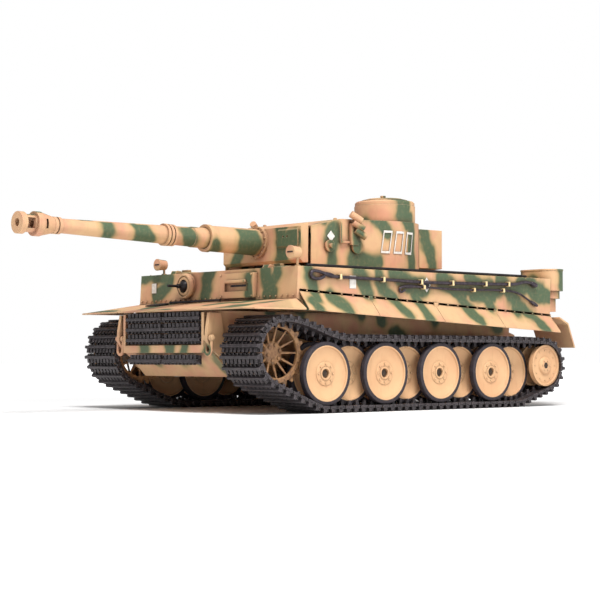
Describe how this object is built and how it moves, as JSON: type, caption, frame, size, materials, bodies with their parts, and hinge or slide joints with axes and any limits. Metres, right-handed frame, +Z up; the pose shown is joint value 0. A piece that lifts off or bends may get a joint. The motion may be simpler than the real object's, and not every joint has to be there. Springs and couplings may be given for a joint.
{
  "type": "rc tank",
  "caption": "One sixteenth scale radio controlled heavy tank with interleaved road wheels, a turning turret, a long gun that lifts and recoils, opening hatches and geared drive.",
  "frame": {"origin": "middle of the bounding box in plan, on the ground", "axes": "+Y towards the rear with the gun pointing to -Y, +X to the model's left, +Z up"},
  "size_m": [0.2312, 0.5194, 0.185],
  "materials": {
    "sand_paint": "matt sprayed camouflage paint",
    "wheel_paint": "matt sand paint",
    "track_metal": "dark weathered",
    "cable": "dark twisted",
    "gun_black": "satin black",
    "battery": "shrink wrap",
    "board": "solder mask",
    "motor_metal": "satin",
    "gear_plastic": "moulded",
    "servo_black": "moulded",
    "screw_steel": "blackened",
    "sprocket_brass": "washed brown",
    "arm_metal": "dusty",
    "exhaust_metal": "rust washed"
  },
  "bodies": {
    "hull": {"hull_tub": "sand_paint", "hull_top": "sand_paint", "front_fender": "sand_paint", "side_guards": "sand_paint", "front_castings": "sand_paint", "headlights": "sand_paint", "spare_links": "track_metal", "link_bar": "sand_paint", "tow_cables": "cable", "cable_clamps": "sand_paint", "hull_tools": "gun_black", "deck_grilles": "sand_paint", "air_cleaners": "sand_paint", "exhausts": "exhaust_metal", "battery_pack": "battery", "control_board": "board", "drive_units": "motor_metal", "turret_motor": "motor_metal", "screws": "screw_steel", "track_left": "track_metal", "track_right": "track_metal", "arms_left": "arm_metal", "arms_right": "arm_metal"},
    "turret": {"turret_shell": "sand_paint", "cupola": "sand_paint", "turret_bin": "sand_paint", "turret_fittings": "sand_paint", "elevation_servo": "servo_black"},
    "gun_cradle": {"mantlet": "sand_paint"},
    "gun": {"gun_barrel": "sand_paint", "muzzle_brake": "sand_paint"},
    "bow_gun": {"bow_gun": "gun_black"},
    "shackle_left": {"shackle_left": "sand_paint"},
    "shackle_right": {"shackle_right": "sand_paint"},
    "engine_hatch": {"engine_hatch": "sand_paint"},
    "driver_hatch": {"driver_hatch": "sand_paint"},
    "radio_hatch": {"radio_hatch": "sand_paint"},
    "cupola_hatch": {"cupola_hatch": "sand_paint"},
    "loader_hatch": {"loader_hatch": "sand_paint"},
    "turret_pinion": {"turret_pinion": "gear_plastic"},
    "sprocket_left": {"sprocket_left": "sprocket_brass"},
    "sprocket_right": {"sprocket_right": "sprocket_brass"},
    "idler_left": {"idler_left": "wheel_paint"},
    "idler_right": {"idler_right": "wheel_paint"},
    "wheel_l1": {"wheel_l1": "wheel_paint"},
    "wheel_l2": {"wheel_l2": "wheel_paint"},
    "wheel_l3": {"wheel_l3": "wheel_paint"},
    "wheel_l4": {"wheel_l4": "wheel_paint"},
    "wheel_l5": {"wheel_l5": "wheel_paint"},
    "wheel_l6": {"wheel_l6": "wheel_paint"},
    "wheel_l7": {"wheel_l7": "wheel_paint"},
    "wheel_l8": {"wheel_l8": "wheel_paint"},
    "wheel_r1": {"wheel_r1": "wheel_paint"},
    "wheel_r2": {"wheel_r2": "wheel_paint"},
    "wheel_r3": {"wheel_r3": "wheel_paint"},
    "wheel_r4": {"wheel_r4": "wheel_paint"},
    "wheel_r5": {"wheel_r5": "wheel_paint"},
    "wheel_r6": {"wheel_r6": "wheel_paint"},
    "wheel_r7": {"wheel_r7": "wheel_paint"},
    "wheel_r8": {"wheel_r8": "wheel_paint"}
  },
  "joints": [
    {"name": "turret_traverse", "type": "hinge", "parent": "hull", "child": "turret", "pos_m": [0, 0.076, 0.1144], "axis": [0, 0, 1], "range_deg": [-160, 160]},
    {"name": "gun_elevation", "type": "hinge", "parent": "turret", "child": "gun_cradle", "pos_m": [0, -0.008, 0.14], "axis": [-1, 0, 0], "range_deg": [-4, 12]},
    {"name": "barrel_recoil", "type": "slide", "parent": "gun_cradle", "child": "gun", "axis": [0, 0.9999, -0.0157], "range_m": [0, 0.006], "stiffness_N_per_m": 400, "springref_m": -0.004},
    {"name": "cupola_hatch_hinge", "type": "hinge", "parent": "turret", "child": "cupola_hatch", "pos_m": [0.0073, 0.0932, 0.1814], "axis": [0, -1, 0], "range_deg": [0, 95]},
    {"name": "loader_hatch_hinge", "type": "hinge", "parent": "turret", "child": "loader_hatch", "pos_m": [-0.024, 0.047, 0.1607], "axis": [1, 0, 0], "range_deg": [0, 100]},
    {"name": "driver_hatch_hinge", "type": "hinge", "parent": "hull", "child": "driver_hatch", "pos_m": [0.079, -0.0495, 0.1155], "axis": [0, 1, 0], "range_deg": [0, 100]},
    {"name": "radio_hatch_hinge", "type": "hinge", "parent": "hull", "child": "radio_hatch", "pos_m": [-0.079, -0.0495, 0.1155], "axis": [0, -1, 0], "range_deg": [0, 100]},
    {"name": "engine_hatch_hinge", "type": "hinge", "parent": "hull", "child": "engine_hatch", "pos_m": [0, 0.2222, 0.1163], "axis": [-1, 0, 0], "range_deg": [0, 100]},
    {"name": "bow_gun_swing", "type": "hinge", "parent": "hull", "child": "bow_gun", "pos_m": [-0.0355, -0.0765, 0.103], "axis": [0, 0, 1], "range_deg": [-10, 10]},
    {"name": "shackle_left_swing", "type": "hinge", "parent": "hull", "child": "shackle_left", "pos_m": [0.059, -0.1249, 0.0586], "axis": [-1, 0, 0], "range_deg": [0, 95]},
    {"name": "shackle_right_swing", "type": "hinge", "parent": "hull", "child": "shackle_right", "pos_m": [-0.059, -0.1249, 0.0586], "axis": [-1, 0, 0], "range_deg": [0, 95]},
    {"name": "drive_left", "type": "hinge", "parent": "hull", "child": "sprocket_left", "pos_m": [0, -0.0946, 0.0469], "axis": [1, 0, 0], "continuous": true},
    {"name": "idler_left_spin", "type": "hinge", "parent": "hull", "child": "idler_left", "pos_m": [0, 0.2143, 0.0361], "axis": [1, 0, 0], "continuous": true},
    {"name": "wheel_l1_spin", "type": "hinge", "parent": "hull", "child": "wheel_l1", "pos_m": [0, -0.0506, 0.03085], "axis": [1, 0, 0], "continuous": true},
    {"name": "wheel_l2_spin", "type": "hinge", "parent": "hull", "child": "wheel_l2", "pos_m": [0, -0.0184, 0.03085], "axis": [1, 0, 0], "continuous": true},
    {"name": "wheel_l3_spin", "type": "hinge", "parent": "hull", "child": "wheel_l3", "pos_m": [0, 0.0138, 0.03085], "axis": [1, 0, 0], "continuous": true},
    {"name": "wheel_l4_spin", "type": "hinge", "parent": "hull", "child": "wheel_l4", "pos_m": [0, 0.046, 0.03085], "axis": [1, 0, 0], "continuous": true},
    {"name": "wheel_l5_spin", "type": "hinge", "parent": "hull", "child": "wheel_l5", "pos_m": [0, 0.0782, 0.03085], "axis": [1, 0, 0], "continuous": true},
    {"name": "wheel_l6_spin", "type": "hinge", "parent": "hull", "child": "wheel_l6", "pos_m": [0, 0.1104, 0.03085], "axis": [1, 0, 0], "continuous": true},
    {"name": "wheel_l7_spin", "type": "hinge", "parent": "hull", "child": "wheel_l7", "pos_m": [0, 0.1426, 0.03085], "axis": [1, 0, 0], "continuous": true},
    {"name": "wheel_l8_spin", "type": "hinge", "parent": "hull", "child": "wheel_l8", "pos_m": [0, 0.1748, 0.03085], "axis": [1, 0, 0], "continuous": true},
    {"name": "drive_right", "type": "hinge", "parent": "hull", "child": "sprocket_right", "pos_m": [0, -0.0946, 0.0469], "axis": [1, 0, 0], "continuous": true},
    {"name": "idler_right_spin", "type": "hinge", "parent": "hull", "child": "idler_right", "pos_m": [0, 0.2143, 0.0361], "axis": [1, 0, 0], "continuous": true},
    {"name": "wheel_r1_spin", "type": "hinge", "parent": "hull", "child": "wheel_r1", "pos_m": [0, -0.0506, 0.03085], "axis": [1, 0, 0], "continuous": true},
    {"name": "wheel_r2_spin", "type": "hinge", "parent": "hull", "child": "wheel_r2", "pos_m": [0, -0.0184, 0.03085], "axis": [1, 0, 0], "continuous": true},
    {"name": "wheel_r3_spin", "type": "hinge", "parent": "hull", "child": "wheel_r3", "pos_m": [0, 0.0138, 0.03085], "axis": [1, 0, 0], "continuous": true},
    {"name": "wheel_r4_spin", "type": "hinge", "parent": "hull", "child": "wheel_r4", "pos_m": [0, 0.046, 0.03085], "axis": [1, 0, 0], "continuous": true},
    {"name": "wheel_r5_spin", "type": "hinge", "parent": "hull", "child": "wheel_r5", "pos_m": [0, 0.0782, 0.03085], "axis": [1, 0, 0], "continuous": true},
    {"name": "wheel_r6_spin", "type": "hinge", "parent": "hull", "child": "wheel_r6", "pos_m": [0, 0.1104, 0.03085], "axis": [1, 0, 0], "continuous": true},
    {"name": "wheel_r7_spin", "type": "hinge", "parent": "hull", "child": "wheel_r7", "pos_m": [0, 0.1426, 0.03085], "axis": [1, 0, 0], "continuous": true},
    {"name": "wheel_r8_spin", "type": "hinge", "parent": "hull", "child": "wheel_r8", "pos_m": [0, 0.1748, 0.03085], "axis": [1, 0, 0], "continuous": true},
    {"name": "turret_pinion_spin", "type": "hinge", "parent": "hull", "child": "turret_pinion", "pos_m": [0, 0.052, 0.1144], "axis": [0, 0, 1], "continuous": true}
  ],
  "couplings": [
    {"joint": "idler_left_spin", "follows": "drive_left", "ratio": 1.2361},
    {"joint": "wheel_l1_spin", "follows": "drive_left", "ratio": 0.95007},
    {"joint": "wheel_l2_spin", "follows": "drive_left", "ratio": 0.95007},
    {"joint": "wheel_l3_spin", "follows": "drive_left", "ratio": 0.95007},
    {"joint": "wheel_l4_spin", "follows": "drive_left", "ratio": 0.95007},
    {"joint": "wheel_l5_spin", "follows": "drive_left", "ratio": 0.95007},
    {"joint": "wheel_l6_spin", "follows": "drive_left", "ratio": 0.95007},
    {"joint": "wheel_l7_spin", "follows": "drive_left", "ratio": 0.95007},
    {"joint": "wheel_l8_spin", "follows": "drive_left", "ratio": 0.95007},
    {"joint": "idler_right_spin", "follows": "drive_right", "ratio": 1.2361},
    {"joint": "wheel_r1_spin", "follows": "drive_right", "ratio": 0.95007},
    {"joint": "wheel_r2_spin", "follows": "drive_right", "ratio": 0.95007},
    {"joint": "wheel_r3_spin", "follows": "drive_right", "ratio": 0.95007},
    {"joint": "wheel_r4_spin", "follows": "drive_right", "ratio": 0.95007},
    {"joint": "wheel_r5_spin", "follows": "drive_right", "ratio": 0.95007},
    {"joint": "wheel_r6_spin", "follows": "drive_right", "ratio": 0.95007},
    {"joint": "wheel_r7_spin", "follows": "drive_right", "ratio": 0.95007},
    {"joint": "wheel_r8_spin", "follows": "drive_right", "ratio": 0.95007},
    {"joint": "turret_pinion_spin", "follows": "turret_traverse", "ratio": 5}
  ]
}
